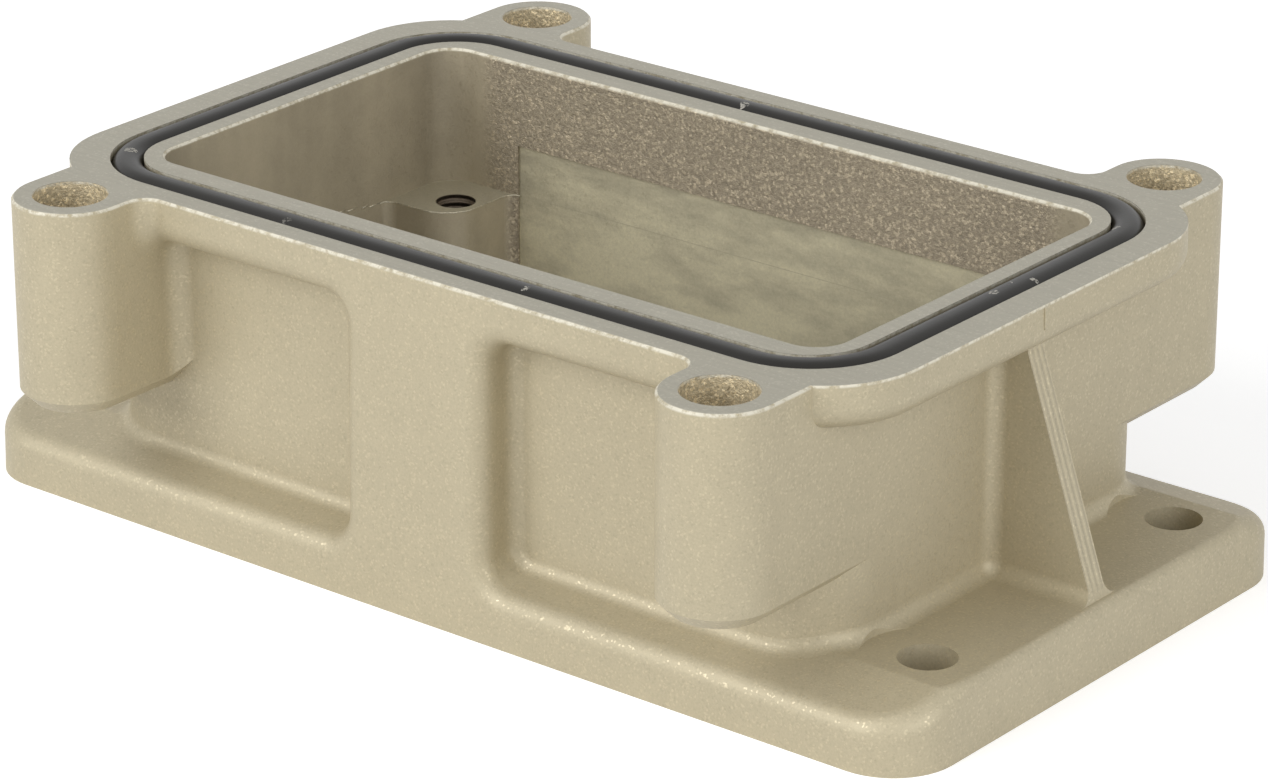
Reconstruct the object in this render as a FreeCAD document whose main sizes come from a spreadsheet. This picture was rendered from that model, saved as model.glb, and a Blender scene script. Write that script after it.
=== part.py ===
"""Die-cast alloy housing with a flanged base, four screw bosses and two seal rings.

Millimetres, +Z up. The mounting face of the base lies on z = 0 and the origin is at its middle.
X runs along the long side, and the rim face at the top is the joint to the mating half.
"""
import FreeCAD, Part
import math
import os
import Sketcher

os.makedirs("parts", exist_ok=True)
doc = FreeCAD.newDocument("die_cast_housing")
Vec = FreeCAD.Vector

# ---------------------------------------------------------------------------------------------
# Driving dimensions. Each one is written once, here, and every feature below is bound to it.
# ---------------------------------------------------------------------------------------------
DIMENSIONS = {
    # Casting as a whole. Its plan grows outwards from the insert's screw pattern.
    "insert_pitch_x": 57.0,
    "insert_pitch_y": 27.0,
    "height": 27.8,                # mounting face to rim face
    "draft": 1.0,                  # degrees, on the outer faces that leave the die along Z
    # Cavity
    "insert_margin_x": 4.5,        # insert screw to cavity wall
    "insert_margin_y": 4.25,
    "cavity_corner": 2.7,
    "pad_drop": 11.7,              # rim face to the four insert pads
    "pad_margin_x": 2.4,           # insert screw to the free side of its pad
    "pad_margin_y": 3.4,
    "pad_corner": 3.0,
    "pad_root": 1.0,
    "relief_inset": 0.8,           # side of the relief to the pad beside it
    "relief_drop": 7.3,
    "relief_depth": 0.25,
    # Walls
    "end_wall": 3.25,
    "side_wall": 3.45,
    "body_corner": 5.8,
    "wall_root": 1.2,
    # Seal rings and their grooves
    "seal_section": 2.55,          # width and depth of the ring
    "seal_bevel": 0.5,
    "seal_clearance": 0.05,
    "seal_proud": 0.2,
    "rim_seal_inset_x": 3.0,       # cavity wall to the centre line of the ring in the rim
    "rim_seal_inset_y": 3.55,
    "rim_seal_corner": 6.7,
    "panel_seal_inset_x": 3.1,     # and of the ring in the mounting face
    "panel_seal_inset_y": 3.7,
    "panel_seal_corner": 6.5,
    # Rim band
    "rim_land_x": 4.0,             # centre line of the ring to the outside of the rim
    "rim_land_y": 3.4,
    "rim_corner": 8.5,
    "rim_band": 3.75,
    "lip_round": 1.7,              # edge of the rim band, the posts and the base's long sides
    "rim_edge": 0.2,
    # Middle post on each long side
    "post_width": 14.0,
    "post_corner": 2.0,
    # Screw bosses under the rim, flush with the end walls
    "boss_radius": 4.55,
    "boss_reach": 3.3,             # side of the rim to the boss's axis
    "boss_height": 16.8,
    "boss_bore": 2.95,
    "boss_root": 1.7,
    "boss_end_break": 1.1,
    "boss_end_taper": 45.0,        # degrees
    # Base plate
    "mount_reach": 5.25,           # end wall to the mounting screws
    "mount_pitch_y": 32.0,
    "mount_margin": 5.0,           # mounting screws to the end of the base
    "mount_hole": 2.25,
    "spot_radius": 5.1,
    "spot_height": 2.6,
    "base_corner": 5.4,
    "base_thick": 5.7,
    "base_end_round": 0.8,
    "base_crown_inset": 0.2,       # base's corner to the level top between its sloping edges
    "base_slope": 16.5,            # degrees, fall of the long edges
    # Gusset rib on each end
    "rib_thick": 2.0,
    "rib_top_inset": 0.8,          # end of the rim to the rib's top
    "rib_foot_inset": 1.0,         # end of the base to the rib's foot
    # Tapped holes for the insert
    "insert_hole": 1.65,
    "insert_depth": 12.0,
}

sheet = doc.addObject("Spreadsheet::Sheet", "Dims")
for row, (alias, number) in enumerate(DIMENSIONS.items(), start=1):
    sheet.set(f"A{row}", alias)
    sheet.set(f"B{row}", str(number))
    sheet.setAlias(f"B{row}", alias)
doc.recompute()


class Size:
    """A sheet value, or a formula over sheet values, as a number and as expression text."""

    def __init__(self, value, text):
        self.value = value
        self.text = text

    def __add__(self, other):
        other = as_size(other)
        return Size(self.value + other.value, f"({self.text} + {other.text})")

    def __sub__(self, other):
        other = as_size(other)
        return Size(self.value - other.value, f"({self.text} - {other.text})")

    def __mul__(self, factor):
        factor = as_size(factor)
        return Size(self.value * factor.value, f"({self.text} * {factor.text})")

    def __truediv__(self, divisor):
        divisor = as_size(divisor)
        return Size(self.value / divisor.value, f"({self.text} / {divisor.text})")

    def __neg__(self):
        return Size(-self.value, f"(-1 * {self.text})")


def as_size(number):
    return number if isinstance(number, Size) else Size(float(number), repr(float(number)))


def dim(alias):
    return Size(DIMENSIONS[alias], f"Dims.{alias}")


def tan(angle):
    return Size(math.tan(math.radians(angle.value)), f"tan({angle.text} * 1 deg)")


# ---------------------------------------------------------------------------------------------
# Sketch and feature helpers
# ---------------------------------------------------------------------------------------------
def new_sketch(body, name, role, lift=None):
    """A sketch flat on one of the body's origin planes, or lifted off it along its normal."""
    sketch = body.newObject("Sketcher::SketchObject", name)
    plane = next(item for item in body.Origin.OriginFeatures if item.Role == role)
    sketch.AttachmentSupport = [(plane, "")]
    sketch.MapMode = "FlatFace"
    if lift is not None:
        sketch.AttachmentOffset = FreeCAD.Placement(Vec(0, 0, lift.value), FreeCAD.Rotation())
        sketch.setExpression("AttachmentOffset.Base.z", lift.text)
    return sketch


def drive(sketch, kind, references, size):
    """A dimension of the sketch, bound to its size."""
    index = sketch.addConstraint(Sketcher.Constraint(kind, *references, size.value))
    sketch.setExpression(f"Constraints[{index}]", size.text)


def rounded_rectangle(sketch, length, width, corner):
    """A rectangle with rounded corners, centred on the sketch's origin."""
    half_x, half_y, radius = length.value / 2, width.value / 2, corner.value
    first = len(sketch.Geometry)
    centres = [(1, -1), (1, 1), (-1, 1), (-1, -1)]
    for turn, (side_x, side_y) in enumerate(centres):
        centre = Vec(side_x * (half_x - radius), side_y * (half_y - radius), 0)
        start = math.radians(90 * turn - 90)
        circle = Part.Circle(centre, Vec(0, 0, 1), radius)
        sketch.addGeometry(Part.ArcOfCircle(circle, start, start + math.pi / 2), False)
    for turn in range(4):
        begin = sketch.Geometry[first + turn].EndPoint
        finish = sketch.Geometry[first + (turn + 1) % 4].StartPoint
        sketch.addGeometry(Part.LineSegment(begin, finish), False)
    for turn in range(4):
        line, arc, following = first + 4 + turn, first + turn, first + (turn + 1) % 4
        sketch.addConstraint(Sketcher.Constraint("Tangent", arc, 2, line, 1))
        sketch.addConstraint(Sketcher.Constraint("Tangent", line, 2, following, 1))
    for arc in range(first + 1, first + 4):
        sketch.addConstraint(Sketcher.Constraint("Equal", first, arc))
    right, top, left, bottom = (first + 4 + turn for turn in range(4))
    sketch.addConstraint(Sketcher.Constraint("Horizontal", top))
    sketch.addConstraint(Sketcher.Constraint("Vertical", left))
    sketch.addConstraint(Sketcher.Constraint("Symmetric", right, 1, right, 2, -1))
    sketch.addConstraint(Sketcher.Constraint("Symmetric", bottom, 1, bottom, 2, -2))
    drive(sketch, "DistanceX", (left, 1, right, 1), length)
    drive(sketch, "DistanceY", (bottom, 1, top, 1), width)
    drive(sketch, "Radius", (first,), corner)


def polygon(sketch, corners):
    """A closed outline of straight lines, each corner placed from the origin by two sizes."""
    first = len(sketch.Geometry)
    count = len(corners)
    points = [Vec(across.value, up.value, 0) for across, up in corners]
    for place in range(count):
        sketch.addGeometry(Part.LineSegment(points[place], points[(place + 1) % count]), False)
    for place in range(count):
        following = first + (place + 1) % count
        sketch.addConstraint(Sketcher.Constraint("Coincident", first + place, 2, following, 1))
    for place, (across, up) in enumerate(corners):
        drive(sketch, "DistanceX", (-1, 1, first + place, 1), across)
        drive(sketch, "DistanceY", (-1, 1, first + place, 1), up)


def four_circles(sketch, across, along, radius):
    """One circle at each corner of a rectangular pattern, given the first one's centre."""
    for side_x, side_y in ((-1, -1), (1, -1), (1, 1), (-1, 1)):
        centre_x, centre_y = across * side_x, along * side_y
        centre = Vec(centre_x.value, centre_y.value, 0)
        place = len(sketch.Geometry)
        sketch.addGeometry(Part.Circle(centre, Vec(0, 0, 1), radius.value), False)
        drive(sketch, "DistanceX", (-1, 1, place, 3), centre_x)
        drive(sketch, "DistanceY", (-1, 1, place, 3), centre_y)
        drive(sketch, "Radius", (place,), radius)


def extrusion(body, kind, name, sketch, length=None, taper=None, **options):
    """A pad or pocket of the sketch. Without a length it runs through everything."""
    feature = body.newObject(f"PartDesign::{kind}", name)
    feature.Profile = sketch
    if length is None:
        feature.Type = "ThroughAll"
    else:
        feature.Length = length.value
        feature.setExpression("Length", length.text)
    if taper is not None:
        feature.TaperAngle = taper.value
        feature.setExpression("TaperAngle", taper.text)
    for option, value in options.items():
        setattr(feature, option, value)
    sketch.Visibility = False
    doc.recompute()
    return feature


def edges_at(feature, points):
    """Names of the feature's edges that pass nearest to the points."""
    names = []
    for point in points:
        vertex = Part.Vertex(point)
        gaps = [edge.distToShape(vertex)[0] for edge in feature.Shape.Edges]
        name = f"Edge{gaps.index(min(gaps)) + 1}"
        if name not in names:
            names.append(name)
    return names


def all_round(*points):
    """The points given for the +X, +Y quarter, in all four quarters."""
    quarters = ((1, 1), (-1, 1), (-1, -1), (1, -1))
    return [Vec(side_x * x, side_y * y, z) for x, y, z in points for side_x, side_y in quarters]


def dress(body, kind, name, points, size):
    """A fillet or chamfer on the edges at the points, on top of the body's last feature."""
    base = body.Tip
    feature = body.newObject(f"PartDesign::{kind}", name)
    feature.Base = (base, edges_at(base, points))
    driven = "Radius" if kind == "Fillet" else "Size"
    setattr(feature, driven, size.value)
    feature.setExpression(driven, size.text)
    doc.recompute()
    return feature


# ---------------------------------------------------------------------------------------------
# Housing: one casting, machined on the rim face and the mounting face
# ---------------------------------------------------------------------------------------------
height = dim("height")
draft_run = height * tan(dim("draft"))
base_thick = dim("base_thick")
insert_x, insert_y = dim("insert_pitch_x") / 2, dim("insert_pitch_y") / 2
half_x, half_y = insert_x + dim("insert_margin_x"), insert_y + dim("insert_margin_y")
body_half_length, body_half_width = half_x + dim("end_wall"), half_y + dim("side_wall")
rim_seal_x, rim_seal_y = half_x + dim("rim_seal_inset_x"), half_y + dim("rim_seal_inset_y")
panel_seal_x, panel_seal_y = half_x + dim("panel_seal_inset_x"), half_y + dim("panel_seal_inset_y")
rim_half_length, rim_half_width = rim_seal_x + dim("rim_land_x"), rim_seal_y + dim("rim_land_y")
mount_x, mount_y = body_half_length + dim("mount_reach"), dim("mount_pitch_y") / 2
base_half_length, base_half_width = mount_x + dim("mount_margin"), rim_half_width + draft_run

housing = doc.addObject("PartDesign::Body", "housing")
housing.Label = "housing"

# Base plate, drawn out of the die upwards, with its long edges falling away outwards.
sketch = new_sketch(housing, "base_outline", "XY_Plane")
rounded_rectangle(sketch, base_half_length * 2, base_half_width * 2, dim("base_corner"))
extrusion(housing, "Pad", "base_plate", sketch, base_thick, -dim("draft"))

crown = base_half_width - dim("base_corner") - dim("base_crown_inset")
outside = base_half_width * 1.1
fall = (outside - crown) * tan(dim("base_slope"))
for side, place in ((1, "far"), (-1, "near")):
    sketch = new_sketch(housing, f"base_fall_{place}", "YZ_Plane")
    polygon(sketch, [(crown * side, base_thick), (outside * side, base_thick - fall),
                     (outside * side, base_thick)])
    extrusion(housing, "Pocket", f"base_slope_{place}", sketch, Midplane=True)

# Walls of the box, and the band that stiffens its rim and carries the seal groove.
sketch = new_sketch(housing, "wall_outline", "XY_Plane")
rounded_rectangle(sketch, body_half_length * 2, body_half_width * 2, dim("body_corner"))
extrusion(housing, "Pad", "walls", sketch, height)

sketch = new_sketch(housing, "rim_outline", "XY_Plane", height)
rounded_rectangle(sketch, rim_half_length * 2, rim_half_width * 2, dim("rim_corner"))
extrusion(housing, "Pad", "rim", sketch, dim("rim_band"), dim("draft"), Reversed=True)

# A post in the middle of each long side, flush with the rim band and the base edge.
sketch = new_sketch(housing, "post_profile", "YZ_Plane")
zero = as_size(0)
polygon(sketch, [(-base_half_width, zero), (base_half_width, zero),
                 (rim_half_width, height), (-rim_half_width, height)])
extrusion(housing, "Pad", "posts", sketch, dim("post_width"), Midplane=True)

# Screw bosses: they hang from the rim, clear of the base, and their outer side is flush with
# the end wall. The lower end of each tapers in. One is drawn, the others are its mirror images.
boss_r = dim("boss_radius")
boss_x, boss_y = body_half_length - boss_r, rim_half_width + dim("boss_reach")
taper_start = height - dim("boss_height") + dim("boss_end_break")
web_start = insert_y
sketch = new_sketch(housing, "boss_outline", "XY_Plane", taper_start)
circle = Part.Circle(Vec(boss_x.value, boss_y.value, 0), Vec(0, 0, 1), boss_r.value)
inner_x, outer_x = (boss_x - boss_r).value, (boss_x + boss_r).value
sketch.addGeometry(Part.ArcOfCircle(circle, 0, math.pi), False)
corners = [Vec(inner_x, boss_y.value, 0), Vec(inner_x, web_start.value, 0),
           Vec(outer_x, web_start.value, 0), Vec(outer_x, boss_y.value, 0)]
for begin, finish in zip(corners, corners[1:]):
    sketch.addGeometry(Part.LineSegment(begin, finish), False)
sketch.addConstraint(Sketcher.Constraint("Tangent", 0, 2, 1, 1))
sketch.addConstraint(Sketcher.Constraint("Coincident", 1, 2, 2, 1))
sketch.addConstraint(Sketcher.Constraint("Coincident", 2, 2, 3, 1))
sketch.addConstraint(Sketcher.Constraint("Tangent", 3, 2, 0, 1))
sketch.addConstraint(Sketcher.Constraint("Vertical", 1))
sketch.addConstraint(Sketcher.Constraint("Horizontal", 2))
sketch.addConstraint(Sketcher.Constraint("Vertical", 3))
drive(sketch, "Radius", (0,), boss_r)
drive(sketch, "DistanceX", (-1, 1, 0, 3), boss_x)
drive(sketch, "DistanceY", (-1, 1, 0, 3), boss_y)
drive(sketch, "DistanceY", (-1, 1, 2, 1), web_start)
boss = extrusion(housing, "Pad", "boss", sketch, dim("boss_height") - dim("boss_end_break"))
boss_end = extrusion(housing, "Pad", "boss_end", sketch, dim("boss_end_break"),
                     -dim("boss_end_taper"), Reversed=True)

origin = {item.Role: item for item in housing.Origin.OriginFeatures}
bosses = housing.newObject("PartDesign::MultiTransform", "bosses")
bosses.Originals = [boss, boss_end]
mirrors = []
for name, role in (("boss_other_end", "YZ_Plane"), ("boss_other_side", "XZ_Plane")):
    mirror = housing.newObject("PartDesign::Mirrored", name)
    mirror.MirrorPlane = (origin[role], [""])
    mirrors.append(mirror)
bosses.Transformations = mirrors
housing.Tip = bosses
doc.recompute()

# Cast edges: the lip round each side recess, the rim band and the base.
band_floor = height.value - dim("rim_band").value
lean = tan(dim("draft")).value
recess_y = (body_half_width.value + rim_half_width.value) / 2
post_side = dim("post_width").value / 2
ledge_z = base_thick.value - (recess_y - crown.value) * tan(dim("base_slope")).value
lip_y = rim_half_width.value + dim("rim_band").value * lean
end_x = base_half_length.value - base_thick.value * lean
beside_post = (post_side + inner_x) / 2
dress(housing, "Fillet", "recess_corners",
      all_round((post_side, recess_y, band_floor), (post_side, recess_y, ledge_z)),
      dim("post_corner"))
dress(housing, "Fillet", "lips",
      all_round((beside_post, lip_y, band_floor), (rim_half_length.value, 0, band_floor)),
      dim("lip_round"))
dress(housing, "Fillet", "base_end_edges", all_round((end_x, 0, base_thick.value)),
      dim("base_end_round"))

# Gusset ribs from the rim band down to the outer edge of the base.
sketch = new_sketch(housing, "rib_profile", "XZ_Plane")
rib_in = half_x + dim("end_wall") / 2
rib_foot, rib_head = base_half_length - dim("rib_foot_inset"), rim_half_length - dim("rib_top_inset")
rib_top = height - dim("rim_band") / 2
for side in (1, -1):
    polygon(sketch, [(rib_in * side, base_thick / 2), (rib_foot * side, base_thick / 2),
                     (rib_foot * side, base_thick), (rib_head * side, height - dim("rim_band")),
                     (rib_head * side, rib_top), (rib_in * side, rib_top)])
extrusion(housing, "Pad", "ribs", sketch, dim("rib_thick"), Midplane=True)

# Roots of the walls, ribs and bosses.
wall_x, wall_y = body_half_length.value, body_half_width.value
rib_side = dim("rib_thick").value / 2
mid_z = (band_floor + taper_start.value) / 2
rim_mid = height.value - dim("rim_band").value / 2
clear_y = (rib_side + wall_y - dim("body_corner").value) / 2
dress(housing, "Fillet", "wall_roots",
      all_round((wall_x, clear_y, base_thick.value), (wall_x, rib_side, mid_z),
                ((wall_x + rib_foot.value) / 2, rib_side, base_thick.value)),
      dim("wall_root"))
dress(housing, "Fillet", "boss_roots",
      all_round((inner_x, wall_y, mid_z), (inner_x, rim_half_width.value, rim_mid)),
      dim("boss_root"))

# Cavity: an open mouth down to four corner pads, then a passage between the pads.
sketch = new_sketch(housing, "mouth_outline", "XY_Plane", height)
rounded_rectangle(sketch, half_x * 2, half_y * 2, dim("cavity_corner"))
extrusion(housing, "Pocket", "mouth", sketch, dim("pad_drop"))

gap_x, gap_y = insert_x - dim("pad_margin_x"), insert_y - dim("pad_margin_y")
pad_z = height - dim("pad_drop")
sketch = new_sketch(housing, "passage_outline", "XY_Plane", pad_z)
polygon(sketch, [(-gap_x, -half_y), (gap_x, -half_y), (gap_x, -gap_y), (half_x, -gap_y),
                 (half_x, gap_y), (gap_x, gap_y), (gap_x, half_y), (-gap_x, half_y),
                 (-gap_x, gap_y), (-half_x, gap_y), (-half_x, -gap_y), (-gap_x, -gap_y)])
extrusion(housing, "Pocket", "passage", sketch)
pad_mid = pad_z.value / 2
dress(housing, "Fillet", "pad_corners", all_round((gap_x.value, gap_y.value, pad_mid)),
      dim("pad_corner"))
dress(housing, "Fillet", "pad_roots",
      all_round((gap_x.value, half_y.value, pad_mid), (half_x.value, gap_y.value, pad_mid)),
      dim("pad_root"))

# The long inner walls are relieved a little below the mouth, where the insert passes.
sketch = new_sketch(housing, "relief_outline", "XY_Plane", height - dim("relief_drop"))
relief_x = gap_x - dim("relief_inset")
relief_y = half_y + dim("relief_depth")
polygon(sketch, [(-relief_x, -relief_y), (relief_x, -relief_y), (relief_x, relief_y),
                 (-relief_x, relief_y)])
extrusion(housing, "Pocket", "relief", sketch)

# Screw holes: bores through the bosses, tapped holes in the pads, plain ones in the base.
sketch = new_sketch(housing, "boss_bore_circles", "XY_Plane", height)
four_circles(sketch, boss_x, boss_y, dim("boss_bore"))
extrusion(housing, "Pocket", "boss_bores", sketch, dim("boss_height"))

sketch = new_sketch(housing, "insert_circles", "XY_Plane", pad_z)
four_circles(sketch, insert_x, insert_y, dim("insert_hole"))
extrusion(housing, "Pocket", "insert_holes", sketch, dim("insert_depth"))

sketch = new_sketch(housing, "mount_circles", "XY_Plane", base_thick)
four_circles(sketch, mount_x, mount_y, dim("mount_hole"))
extrusion(housing, "Pocket", "mount_holes", sketch)

sketch = new_sketch(housing, "spot_circles", "XY_Plane", base_thick)
four_circles(sketch, mount_x, mount_y, dim("spot_radius"))
extrusion(housing, "Pocket", "spot_faces", sketch, dim("spot_height"), Reversed=True)



# Grooves for the two seal rings, one in the rim and one in the mounting face.
def groove(name, across, along, corner, depth, level=None, **options):
    """A groove round the centre line of its ring, which lies in it with a clearance all round."""
    side_gap = dim("seal_section") / 2 + dim("seal_clearance")
    outline = new_sketch(housing, f"{name}_outline", "XY_Plane", level)
    for side in (1, -1):
        offset = side_gap * side
        rounded_rectangle(outline, (across + offset) * 2, (along + offset) * 2, corner + offset)
    extrusion(housing, "Pocket", name, outline, depth, **options)


groove("rim_groove", rim_seal_x, rim_seal_y, dim("rim_seal_corner"),
       dim("seal_section") - dim("seal_proud"), height)
groove("panel_groove", panel_seal_x, panel_seal_y, dim("panel_seal_corner"),
       dim("seal_section"), Reversed=True)

# The milled rim face leaves a fine broken edge round its outline and round the mouth.
dress(housing, "Chamfer", "rim_edge_break",
      all_round((beside_post, rim_half_width.value, height.value),
                (beside_post, half_y.value, height.value)), dim("rim_edge"))


# ---------------------------------------------------------------------------------------------
# Seal rings: a moulded rubber section with a narrowed sealing face, swept round its groove
# ---------------------------------------------------------------------------------------------
def seal_ring(name, across, along, corner, level, outward):
    """A ring whose sealing face lies at the level and looks up (outward 1) or down (-1)."""
    body = doc.addObject("PartDesign::Body", name)
    body.Label = name
    path = new_sketch(body, f"{name}_path", "XY_Plane", level)
    rounded_rectangle(path, across * 2, along * 2, corner)
    half, bevel = dim("seal_section") / 2, dim("seal_bevel")
    back = level - dim("seal_section") * outward
    shoulder = level - bevel * outward
    section = new_sketch(body, f"{name}_section", "YZ_Plane")
    polygon(section, [(along - half, back), (along + half, back), (along + half, shoulder),
                      (along + half - bevel, level), (along - half + bevel, level),
                      (along - half, shoulder)])
    ring = body.newObject("PartDesign::AdditivePipe", f"{name}_ring")
    ring.Profile = section
    ring.Spine = path
    path.Visibility = False
    section.Visibility = False
    doc.recompute()
    return body


rim_seal = seal_ring("rim_seal", rim_seal_x, rim_seal_y, dim("rim_seal_corner"),
                     height + dim("seal_proud"), 1)
panel_seal = seal_ring("panel_seal", panel_seal_x, panel_seal_y, dim("panel_seal_corner"),
                       zero, -1)

# ---------------------------------------------------------------------------------------------
# Checks and export
# ---------------------------------------------------------------------------------------------
doc.recompute()
for item in doc.Objects:
    if "Invalid" in item.State or "Error" in item.State:
        raise RuntimeError(f"{item.Name} did not compute: {item.State}")
for node in (housing, rim_seal, panel_seal):
    shape = node.Shape
    if shape.isNull() or not shape.isValid() or len(shape.Solids) != 1:
        raise RuntimeError(f"{node.Label} is not one valid solid")
    shape.exportStep(f"parts/{node.Label}.step")
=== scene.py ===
"""A die-cast alloy housing with a milled rim, its rubber seals and the marks that casting and
trimming leave on it, standing on a white studio floor. Metres, +Z up, in the frame of the part.
"""
import math

import bmesh
import bpy
from mathutils import Matrix, Vector, noise


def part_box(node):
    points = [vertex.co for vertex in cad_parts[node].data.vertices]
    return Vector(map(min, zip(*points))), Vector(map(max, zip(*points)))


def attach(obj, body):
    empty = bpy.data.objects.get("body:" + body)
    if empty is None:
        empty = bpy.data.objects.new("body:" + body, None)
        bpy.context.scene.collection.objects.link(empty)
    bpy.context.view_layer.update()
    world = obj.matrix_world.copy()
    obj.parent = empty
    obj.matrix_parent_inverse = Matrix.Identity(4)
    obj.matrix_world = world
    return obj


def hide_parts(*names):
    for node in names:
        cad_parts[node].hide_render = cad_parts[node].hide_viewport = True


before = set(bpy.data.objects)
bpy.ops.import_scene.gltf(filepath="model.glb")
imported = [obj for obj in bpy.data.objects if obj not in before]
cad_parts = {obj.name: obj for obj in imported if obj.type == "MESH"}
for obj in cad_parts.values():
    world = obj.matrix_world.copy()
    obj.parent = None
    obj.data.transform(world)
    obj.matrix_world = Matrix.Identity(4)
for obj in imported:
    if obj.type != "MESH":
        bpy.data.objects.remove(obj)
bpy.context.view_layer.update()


# ---------------------------------------------------------------------------------------------
# Camera: above one corner of the housing, far enough away that the long sides hardly converge.
# ---------------------------------------------------------------------------------------------
rim_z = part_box("housing")[1].z
camera_data = bpy.data.cameras.new("camera")
camera_data.lens = 148.28
camera_data.sensor_width = 36.0
camera_data.clip_start = 0.01
camera = bpy.data.objects.new("camera", camera_data)
camera.location = (0.23908, -0.29464, rim_z + 0.13806)
azimuth, elevation = math.radians(38.8902), math.radians(22.2453)
camera.rotation_euler = (math.pi / 2 - elevation, 0.0, azimuth)
bpy.context.scene.collection.objects.link(camera)
bpy.context.scene.camera = camera


# ---------------------------------------------------------------------------------------------
# Casting: aluminium alloy, blasted to a fine sparkling grain outside, left rough from the die
# inside, and milled on the rim face. Wire turns shader nodes into plain arithmetic.
# ---------------------------------------------------------------------------------------------
mm = 0.001
cavity_x, cavity_y = 33.0 * mm, 17.75 * mm
pad_x, pad_y, pad_z = 26.1 * mm, 10.1 * mm, rim_z - 11.7 * mm
relief_x, relief_y, relief_top = 25.3 * mm, 18.0 * mm, rim_z - 7.3 * mm
insert_x, insert_y, insert_radius = 28.5 * mm, 13.5 * mm, 1.65 * mm
boss_x, boss_y, boss_bore, boss_end = 31.7 * mm, 28.0 * mm, 2.95 * mm, rim_z - 16.8 * mm
rim_end = 40.0 * mm


class Wire:
    """An output of a shader node. Arithmetic on it adds the Math nodes that work it out."""

    def __init__(self, finish, socket):
        self.finish = finish
        self.socket = socket

    def math(self, operation, *values, clamp=False):
        settings = {"operation": operation, "use_clamp": clamp}
        return self.finish.node("ShaderNodeMath", settings, dict(enumerate(values)))

    def __add__(self, other):
        return self.math("ADD", self, other)

    def __sub__(self, other):
        return self.math("SUBTRACT", self, other)

    def __mul__(self, other):
        return self.math("MULTIPLY", self, other)

    def __truediv__(self, other):
        return self.math("DIVIDE", self, other)

    def __rsub__(self, other):
        return self.math("SUBTRACT", other, self)

    def __rtruediv__(self, other):
        return self.math("DIVIDE", other, self)

    def __abs__(self):
        return self.math("ABSOLUTE", self)

    __radd__ = __add__
    __rmul__ = __mul__

    def between(self, start, end):
        """0 up to start, 1 from end on, and a straight ramp between them. End may be the lower."""
        return self.math("MULTIPLY", self - start, 1 / (end - start), clamp=True)

    def near(self, level, reach):
        """1 at the level, falling to 0 at the reach on either side of it."""
        return abs(self - level).between(reach, 0.0)

    def held(self):
        """The value kept between 0 and 1."""
        return self.math("ADD", self, 0.0, clamp=True)

    def greater(self, other):
        return self.math("MAXIMUM", self, other)


class Finish:
    """A material and the shader nodes that give it its look."""

    def __init__(self, name):
        self.material = bpy.data.materials.new(name)
        self.material.use_nodes = True
        self.tree = self.material.node_tree
        self.tree.nodes.clear()
        self.place = self.node("ShaderNodeTexCoord", output="Object")
        self.x, self.y, self.z = (self.node("ShaderNodeSeparateXYZ", {}, {0: self.place}, axis)
                                  for axis in "XYZ")

    def node(self, kind, settings=None, inputs=None, output=0):
        """Adds a node, sets it up, fills or links its inputs and returns one of its outputs."""
        node = self.tree.nodes.new(kind)
        for name, value in (settings or {}).items():
            setattr(node, name, value)
        for name, value in (inputs or {}).items():
            socket = node.inputs[name]
            if isinstance(value, Wire):
                self.tree.links.new(value.socket, socket)
            else:
                socket.default_value = value
        return Wire(self, node.outputs[output])

    def noise(self, scale, detail=3.0, roughness=0.5, place=None):
        """Soft noise, from 0 to 1 with its middle at 0.5. Scale is in repeats a metre."""
        return self.node("ShaderNodeTexNoise", {},
                         {"Vector": place or self.place, "Scale": scale, "Detail": detail,
                          "Roughness": roughness}, "Fac")

    def flecks(self, scale, share):
        """1 on that share of a fine grain of cells, and 0 on the others."""
        colour = self.node("ShaderNodeTexVoronoi", {}, {"Vector": self.place, "Scale": scale},
                           "Color")
        chance = self.node("ShaderNodeSeparateColor", {}, {0: colour})
        return chance.between(1.0 - share, 1.0 - share * 0.9)

    def stretched(self, x, y, z):
        """The place with each axis multiplied, so that a pattern on it runs long or short."""
        return self.node("ShaderNodeMapping", {}, {"Vector": self.place, "Scale": (x, y, z)})

    def blend(self, share, low, high):
        """One colour where the share is 0 and another where it is 1."""
        mix = {"data_type": "RGBA", "clamp_factor": True}
        return self.node("ShaderNodeMix", mix, {0: share, 6: low, 7: high}, 2)

    def tint(self, colour, strength):
        """The colour made lighter or darker by a strength around 1."""
        grey = self.node("ShaderNodeCombineColor", {}, {0: strength, 1: strength, 2: strength})
        mix = {"data_type": "RGBA", "blend_type": "MULTIPLY"}
        return self.node("ShaderNodeMix", mix, {0: 1.0, 6: colour, 7: grey}, 2)

    def bump(self, height, distance, strength=1.0, under=None):
        """A normal that follows the height, whose full range is the distance in metres."""
        inputs = {"Strength": strength, "Distance": distance, "Height": height}
        if under is not None:
            inputs["Normal"] = under
        return self.node("ShaderNodeBump", {}, inputs, "Normal")

    def shade(self, colour, roughness, metallic, normal, **fixed):
        """The surface shader and the material's output. Fixed inputs are the same all over."""
        inputs = {"Base Color": colour, "Roughness": roughness, "Metallic": metallic,
                  "Normal": normal}
        inputs.update({name.replace("_", " "): value for name, value in fixed.items()})
        surface = self.node("ShaderNodeBsdfPrincipled", {}, inputs, "BSDF")
        self.show(surface)
        return self.material

    def show(self, surface):
        """The material's output, fed by the surface."""
        output = self.tree.nodes.new("ShaderNodeOutputMaterial")
        self.tree.links.new(surface.socket, output.inputs["Surface"])


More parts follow.
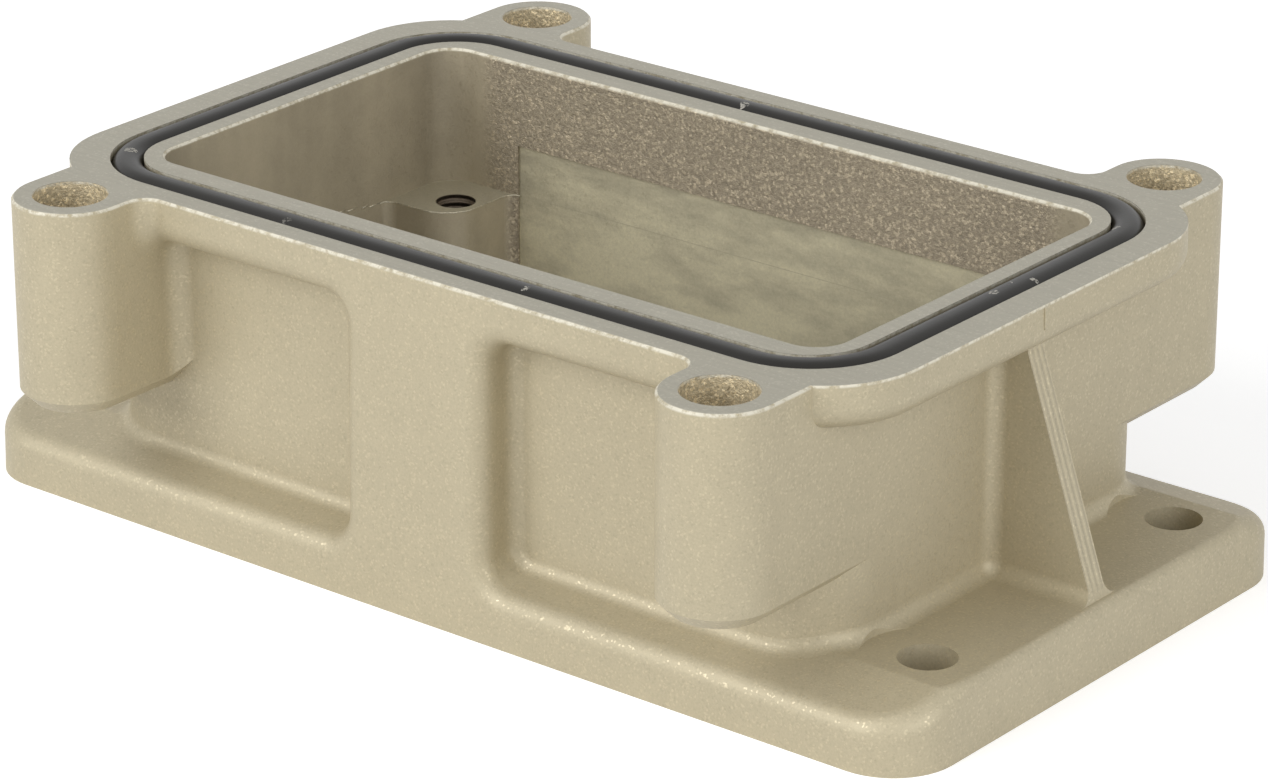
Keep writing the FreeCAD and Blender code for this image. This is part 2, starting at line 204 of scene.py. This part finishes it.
def cast_alloy():
    """The finish of the whole casting. Where a point lies decides which skin it has."""
    skin = Finish("cast_alloy")
    long_way, across = abs(skin.x), abs(skin.y)

    # Where each skin is: milled faces, the cavity, its relieved panels, its end walls, the bores.
    milled = skin.z.between(rim_z - 0.05 * mm, rim_z - 0.03 * mm)
    under = skin.z.between(0.03 * mm, 0.01 * mm)
    flat_cut = milled.greater(under)
    inside = (long_way.between(cavity_x + 0.28 * mm, cavity_x + 0.22 * mm)
              * across.between(cavity_y + 0.32 * mm, cavity_y + 0.27 * mm)
              * skin.z.between(rim_z - 0.05 * mm, rim_z - 0.35 * mm))
    relief = (long_way.between(relief_x + 0.1 * mm, relief_x) * inside
              * across.between(relief_y - 0.15 * mm, relief_y - 0.05 * mm)
              * skin.z.between(relief_top + 0.05 * mm, relief_top - 0.05 * mm))
    long_wall = (across.between(cavity_y - 0.9 * mm, cavity_y - 0.1 * mm) * inside
                 * long_way.between(29.4 * mm, 27.6 * mm))
    from_boss = skin.node("ShaderNodeMath", {"operation": "SQRT"},
                          {0: (long_way - boss_x) * (long_way - boss_x)
                           + (across - boss_y) * (across - boss_y)})
    boss_hole = (from_boss.between(boss_bore + 0.05 * mm, boss_bore + 0.02 * mm)
                 * skin.z.between(boss_end, boss_end + 0.1 * mm) * (1.0 - flat_cut))
    from_insert = skin.node("ShaderNodeMath", {"operation": "SQRT"},
                            {0: (long_way - insert_x) * (long_way - insert_x)
                             + (across - insert_y) * (across - insert_y)})
    tapped = (from_insert.between(insert_radius + 0.06 * mm, insert_radius + 0.02 * mm)
              * skin.z.between(pad_z + 0.01 * mm, pad_z - 0.03 * mm))
    pad_face = skin.z.near(pad_z, 0.06 * mm) * inside

    # Outside: blasted grain whose flecks catch the light, a little uneven over longer distances.
    grain = skin.noise(5200.0, detail=2.0, roughness=0.7)
    cloud = skin.noise(60.0, detail=4.0)
    blotch = skin.noise(420.0, detail=4.0, roughness=0.6)
    bright = skin.flecks(6200.0, 0.10)
    dull = skin.flecks(5400.0, 0.08)
    shade_outside = (1.0 + (grain - 0.5) * 0.34 + (cloud - 0.5) * 0.12 + (blotch - 0.5) * 0.12
                     + bright * 0.12 - dull * 0.07)
    outside = skin.tint((0.476, 0.418, 0.288, 1.0), shade_outside)

    # Inside: skin left by the die, browner, coarse and sparkling on the long walls above the
    # relief, and wiped smoother with upright bands at the ends.
    coarse = skin.noise(3800.0, detail=3.0, roughness=0.7)
    glint = skin.flecks(4600.0, 0.20)
    upright = skin.noise(150.0, detail=3.0, place=skin.stretched(1.0, 1.0, 0.12))
    shade_end = 0.90 + (upright - 0.5) * 0.8 + (blotch - 0.5) * 0.22 + (grain - 0.5) * 0.2
    end_skin = skin.tint((0.430, 0.375, 0.268, 1.0), shade_end)
    shade_long = 0.74 + (coarse - 0.5) * 1.1 + glint * 0.40 + (cloud - 0.5) * 0.25
    long_skin = skin.tint((0.430, 0.365, 0.262, 1.0), shade_long)
    inside_skin = skin.blend(long_wall, end_skin, long_skin)

    # Relieved panels: smooth, greenish, clouded and drawn out lengthwise by the die release.
    drawn = skin.stretched(0.55, 1.0, 1.6)
    release = skin.noise(260.0, detail=7.0, roughness=0.66, place=drawn)
    streak = skin.noise(90.0, detail=3.0, place=skin.stretched(0.22, 1.0, 1.0))
    worn = (release * 0.65 + streak * 0.35).between(0.40, 0.62)
    panel_skin = skin.blend(worn, (0.400, 0.365, 0.262, 1.0), (0.640, 0.590, 0.415, 1.0))
    panel_skin = skin.tint(panel_skin, 0.92 + (grain - 0.5) * 0.30 + (coarse - 0.5) * 0.25)
    inside_skin = skin.blend(relief, inside_skin, panel_skin)
    pad_skin = skin.tint((0.440, 0.400, 0.290, 1.0), 0.95 + (coarse - 0.5) * 0.3)
    inside_skin = skin.blend(pad_face, inside_skin, pad_skin)

    # Screw holes: granular bores through the bosses and tapped ones in the pads.
    # The bores' grainy skin is lightened as painted light: pale tone and glint flecks for their
    # lit walls.
    bore_skin_and_light = skin.tint((0.600, 0.510, 0.340, 1.0), 0.95 + (coarse - 0.5) * 1.6 + glint * 0.5)
    # Painted shade in the tapped holes: their dark colour stands in for the shade that fills them.
    tapped_hole_shade = skin.tint((0.160, 0.120, 0.080, 1.0), 0.8 + (coarse - 0.5) * 1.2)

    # Milled faces: greyer metal with a faint grain, and a bright torn line along every edge,
    # partly burr and partly painted highlight.
    cutter = skin.noise(900.0, detail=3.0, place=skin.stretched(0.25, 3.0, 1.0))
    cut = skin.tint((0.385, 0.362, 0.290, 1.0),
                    1.0 + (cutter - 0.5) * 0.25 + (grain - 0.5) * 0.3 + bright * 0.08)
    edge = (skin.z.between(rim_z - 0.30 * mm, rim_z - 0.16 * mm)
            * skin.z.between(rim_z - 0.01 * mm, rim_z - 0.04 * mm))
    # The pale edge line is partly painted highlight, where the edge break would catch the light.
    edge_burr_and_highlight = edge * skin.noise(1500.0, detail=3.0, roughness=0.7).between(0.36, 0.56)

    colour = skin.blend(inside, outside, inside_skin)
    colour = skin.blend(boss_hole, colour, bore_skin_and_light)
    colour = skin.blend(tapped, colour, tapped_hole_shade)
    colour = skin.blend(flat_cut, colour, cut)
    colour = skin.blend(edge_burr_and_highlight, colour, (0.740, 0.700, 0.580, 1.0))
    sparkle = (glint * long_wall * (1.0 - relief)).greater(bright).greater(glint * boss_hole)
    roughness = 0.52 + (grain - 0.5) * 0.2 - flat_cut * 0.08 - sparkle * 0.12 + relief * 0.06
    metallic = 0.22 + flat_cut * 0.25 + sparkle * 0.2

    # Grain and die skin, longitudinal scores on the rib edges, and threads in the tapped holes.
    fine = skin.bump(grain * 0.7 + bright * 0.3, 0.045 * mm, 0.6)
    rough = (inside * long_wall * (1.0 - relief)).greater(boss_hole) * (1.0 - flat_cut)
    normal = skin.bump(coarse * rough, 0.20 * mm, 0.9, under=fine)
    rib_edge = (across.between(1.0 * mm, 0.9 * mm) * long_way.between(36.5 * mm, 37.0 * mm)
                * skin.z.between(6.0 * mm, 7.0 * mm) * skin.z.between(25.0 * mm, 24.4 * mm))
    score_turns = 2 * math.pi / (0.62 * mm)
    scores = skin.node("ShaderNodeMath", {"operation": "COSINE"}, {0: skin.y * score_turns})
    normal = skin.bump(scores * 0.5 * rib_edge, 0.10 * mm, 0.8, under=normal)
    thread_turns = 2 * math.pi / (0.7 * mm)
    thread = skin.node("ShaderNodeMath", {"operation": "COSINE"}, {0: skin.z * thread_turns})
    normal = skin.bump(thread * 0.5 * tapped, 0.35 * mm, 1.0, under=normal)
    return skin.shade(colour, roughness.held(), metallic.held(), normal)


casting = cast_alloy()
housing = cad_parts["housing"]
housing.data.materials.clear()
housing.data.materials.append(casting)


# ---------------------------------------------------------------------------------------------
# Trimming burrs: a torn bright lip of metal along the edge of each insert pad, where the slug
# was punched out, and a broken line of flash on the end wall between the pads.
# ---------------------------------------------------------------------------------------------
def bright_metal():
    """Freshly torn alloy, paler and shinier than the skin."""
    metal = Finish("torn_alloy")
    grain = metal.noise(6000.0, detail=2.0)
    colour = metal.tint((0.640, 0.590, 0.450, 1.0), 0.8 + (grain - 0.5) * 1.0)
    return metal.shade(colour, 0.42, 0.45, metal.bump(grain, 0.04 * mm, 0.7))


def add_piece(name, mesh, material):
    """Turns the modelled mesh into a piece that belongs to the housing's body."""
    bmesh.ops.recalc_face_normals(mesh, faces=mesh.faces)
    for face in mesh.faces:
        face.smooth = True
    data = bpy.data.meshes.new(name)
    mesh.to_mesh(data)
    mesh.free()
    data.materials.append(material)
    piece = bpy.data.objects.new(name, data)
    bpy.context.scene.collection.objects.link(piece)
    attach(piece, "root")
    return piece


burr_wide, burr_high, burr_sunk = 0.10 * mm, 0.10 * mm, 0.03 * mm
pad_corner, pad_root = 3.0 * mm, 1.0 * mm
torn_metal = bright_metal()


def extend(mesh, face, move):
    """Extrudes the end face straight on and returns the new end."""
    grown = bmesh.ops.extrude_face_region(mesh, geom=[face])["geom"]
    corners = [item for item in grown if isinstance(item, bmesh.types.BMVert)]
    bmesh.ops.translate(mesh, verts=corners, vec=move)
    return next(item for item in grown if isinstance(item, bmesh.types.BMFace))


def sweep(mesh, face, centre, degrees):
    """Spins the end face round an upright axis and returns the new end."""
    spun = bmesh.ops.spin(mesh, geom=[face, *face.edges, *face.verts], cent=(*centre, 0.0),
                          axis=(0, 0, 1), angle=math.radians(degrees), steps=8)["geom_last"]
    return next(item for item in spun if isinstance(item, bmesh.types.BMFace))


def pad_burr():
    """The burr on the pad of the +X, +Y quarter, from the long wall round to the end wall."""
    mesh = bmesh.new()
    bmesh.ops.create_grid(mesh, x_segments=1, y_segments=1, size=0.5)
    bmesh.ops.scale(mesh, vec=(burr_high, burr_wide, 1.0), verts=mesh.verts)
    bmesh.ops.rotate(mesh, cent=(0, 0, 0), verts=mesh.verts,
                     matrix=Matrix.Rotation(math.pi / 2, 3, "Y"))
    start = (pad_x - pad_root, cavity_y, pad_z + burr_high / 2 - burr_sunk)
    bmesh.ops.translate(mesh, verts=mesh.verts, vec=start)
    mesh.faces.ensure_lookup_table()
    end = mesh.faces[0]
    end = sweep(mesh, end, (pad_x - pad_root, cavity_y - pad_root), -90)
    end = extend(mesh, end, (0.0, pad_y + pad_corner - cavity_y + pad_root, 0.0))
    end = sweep(mesh, end, (pad_x + pad_corner, pad_y + pad_corner), 90)
    end = extend(mesh, end, (cavity_x - pad_root - pad_x - pad_corner, 0.0, 0.0))
    sweep(mesh, end, (cavity_x - pad_root, pad_y - pad_root), -90)
    return mesh


def tear(mesh, amount):
    """Roughens a burr, so that it looks torn off and not drawn."""
    bmesh.ops.subdivide_edges(mesh, edges=[edge for edge in mesh.edges
                                           if edge.calc_length() > 0.4 * mm], cuts=6)
    for vert in mesh.verts:
        vert.co += noise.noise_vector(vert.co * 2200.0) * amount


burrs = bmesh.new()
for side_x, side_y in ((1, 1), (-1, 1), (-1, -1), (1, -1)):
    burr = pad_burr()
    bmesh.ops.scale(burr, vec=(side_x, side_y, 1.0), verts=burr.verts)
    tear(burr, 0.05 * mm)
    loose = bpy.data.meshes.new("burr")
    burr.to_mesh(loose)
    burr.free()
    burrs.from_mesh(loose)
    bpy.data.meshes.remove(loose)
for side in (1, -1):
    for place, length in ((4.3, 0.9), (5.6, 1.2), (7.2, 0.7), (8.4, 1.3), (9.7, 0.5)):
        scrap = bmesh.ops.create_cube(burrs, size=1.0)["verts"]
        bmesh.ops.scale(burrs, vec=(0.07 * mm, length * mm, 0.09 * mm), verts=scrap)
        drop = (place - 3.9) * 0.142 * mm
        bmesh.ops.translate(burrs, verts=scrap, vec=(
            -side * (cavity_x - 0.02 * mm), side * place * mm, rim_z - 10.96 * mm - drop))
add_piece("pad_burrs", burrs, torn_metal)


# ---------------------------------------------------------------------------------------------
# Parting line: where the die halves met, a thin ridge crosses the rim band above each rib.
# It was scraped flush at the milled face.
# ---------------------------------------------------------------------------------------------
seam = bmesh.new()
for side in (1, -1):
    ridge = bmesh.ops.create_cube(seam, size=1.0)["verts"]
    bmesh.ops.scale(seam, vec=(0.16 * mm, 0.22 * mm, 1.75 * mm), verts=ridge)
    bmesh.ops.translate(seam, verts=ridge,
                        vec=(side * (rim_end + 0.03 * mm), -0.15 * mm, rim_z - 1.1 * mm))
upright = [edge for edge in seam.edges if edge.calc_length() > 1.0 * mm]
bmesh.ops.bevel(seam, geom=upright, offset=0.06 * mm, affect="EDGES", segments=2, profile=0.5,
                material=-1)
tear(seam, 0.03 * mm)
add_piece("parting_line", seam, casting)


# ---------------------------------------------------------------------------------------------
# Seal rings: black rubber, each moulded in one piece and pressed into its groove. The rim ring
# stands a little proud of the milled face and has a rounded back. The panel ring lies below.
# ---------------------------------------------------------------------------------------------
def rubber():
    """Black rubber with a soft sheen, fine mould grain and a little dust."""
    seal = Finish("seal_rubber")
    grain = seal.noise(3000.0, detail=3.0, roughness=0.6)
    bloom = seal.noise(150.0, detail=4.0)
    dust = seal.flecks(1500.0, 0.006) * seal.noise(5000.0).between(0.45, 0.55)
    colour = seal.tint((0.016, 0.0145, 0.012, 1.0), 0.75 + bloom * 0.5)
    colour = seal.blend(dust, colour, (0.45, 0.43, 0.38, 1.0))
    roughness = 0.34 + (bloom - 0.5) * 0.25 + dust * 0.4
    normal = seal.bump(grain, 0.02 * mm, 0.3)
    return seal.shade(colour, roughness.held(), 0.0, normal, Specular_IOR_Level=0.28)


seal_rubber = rubber()
panel_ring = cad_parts["panel_seal"]
panel_ring.data.materials.clear()
panel_ring.data.materials.append(seal_rubber)

seal_low, seal_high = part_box("rim_seal")
seal_width, seal_corner, seal_crown = 2.55 * mm, 7.975 * mm, 1.1 * mm
ring = bmesh.new()
bmesh.ops.create_grid(ring, x_segments=1, y_segments=1, size=1.0)
bmesh.ops.scale(ring, vec=(seal_high.x, seal_high.y, 1.0), verts=ring.verts)
bmesh.ops.bevel(ring, geom=ring.verts[:], offset=seal_corner, affect="VERTICES", segments=16,
                profile=0.5, material=-1)
bmesh.ops.inset_region(ring, faces=ring.faces[:], thickness=seal_width, use_boundary=True,
                       use_even_offset=True)
opening = max(ring.faces, key=lambda face: face.calc_area())
bmesh.ops.delete(ring, geom=[opening], context="FACES")
bmesh.ops.solidify(ring, geom=ring.faces[:], thickness=seal_high.z - seal_low.z)
lowest = min(vert.co.z for vert in ring.verts)
bmesh.ops.translate(ring, verts=ring.verts, vec=(0.0, 0.0, seal_low.z - lowest))
back = [edge for edge in ring.edges
        if min(vert.co.z for vert in edge.verts) > seal_high.z - 0.01 * mm
        and edge.calc_face_angle(0.0) > 1.0]
bmesh.ops.bevel(ring, geom=back, offset=seal_crown, affect="EDGES", segments=7, profile=0.5,
                material=-1)
rim_ring = add_piece("rim_seal_ring", ring, seal_rubber)
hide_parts("rim_seal")


# ---------------------------------------------------------------------------------------------
# Studio: a white floor and surround, one large soft lamp at the front left and a weaker one on
# the right. The floor keeps the housing's shadow and shows white where none falls.
# ---------------------------------------------------------------------------------------------
floor_mesh = bmesh.new()
bmesh.ops.create_grid(floor_mesh, x_segments=1, y_segments=1, size=3.0)
floor_data = bpy.data.meshes.new("floor")
floor_mesh.to_mesh(floor_data)
floor_mesh.free()
floor = bpy.data.objects.new("floor", floor_data)
bpy.context.scene.collection.objects.link(floor)
paper = Finish("floor_paper")
seen = {ray: paper.node("ShaderNodeLightPath", output=ray)
        for ray in ("Is Camera Ray", "Is Glossy Ray", "Is Transmission Ray")}
shown = seen["Is Camera Ray"].greater(seen["Is Glossy Ray"]).greater(seen["Is Transmission Ray"])
lit = paper.node("ShaderNodeBsdfDiffuse", {}, {"Color": (0.86, 0.86, 0.86, 1.0)})
glow = paper.node("ShaderNodeEmission", {}, {"Strength": shown * 0.50})
paper.show(paper.node("ShaderNodeAddShader", {}, {0: lit, 1: glow}))
floor_data.materials.append(paper.material)


def soft_lamp(name, place, target, size, power):
    """A square area lamp that faces the target."""
    data = bpy.data.lights.new(name, "AREA")
    data.shape = "SQUARE"
    data.size = size
    data.energy = power
    lamp = bpy.data.objects.new(name, data)
    lamp.location = place
    facing = Vector(place) - Vector(target)
    lamp.rotation_euler = facing.to_track_quat("Z", "Y").to_euler()
    bpy.context.scene.collection.objects.link(lamp)


middle = (0.0, 0.0, rim_z / 2)
soft_lamp("front_lamp", (-0.35, -0.95, 0.55), middle, 0.7, 7.8)
soft_lamp("side_lamp", (0.95, -0.25, 0.38), middle, 0.8, 4.5)

world = bpy.data.worlds.new("surround")
world.use_nodes = True
bpy.context.scene.world = world
tree = world.node_tree
background = tree.nodes["Background"]
background.inputs["Color"].default_value = (1.0, 1.0, 1.0, 1.0)
rays = tree.nodes.new("ShaderNodeLightPath")
strength = tree.nodes.new("ShaderNodeMapRange")
strength.inputs["To Min"].default_value = 0.40
strength.inputs["To Max"].default_value = 1.0
either = rays.outputs["Is Camera Ray"]
for ray in ("Is Glossy Ray", "Is Transmission Ray"):
    join = tree.nodes.new("ShaderNodeMath")
    join.operation = "MAXIMUM"
    tree.links.new(either, join.inputs[0])
    tree.links.new(rays.outputs[ray], join.inputs[1])
    either = join.outputs[0]
tree.links.new(either, strength.inputs["Value"])
tree.links.new(strength.outputs["Result"], background.inputs["Strength"])

bpy.context.scene.view_settings.view_transform = "Standard"
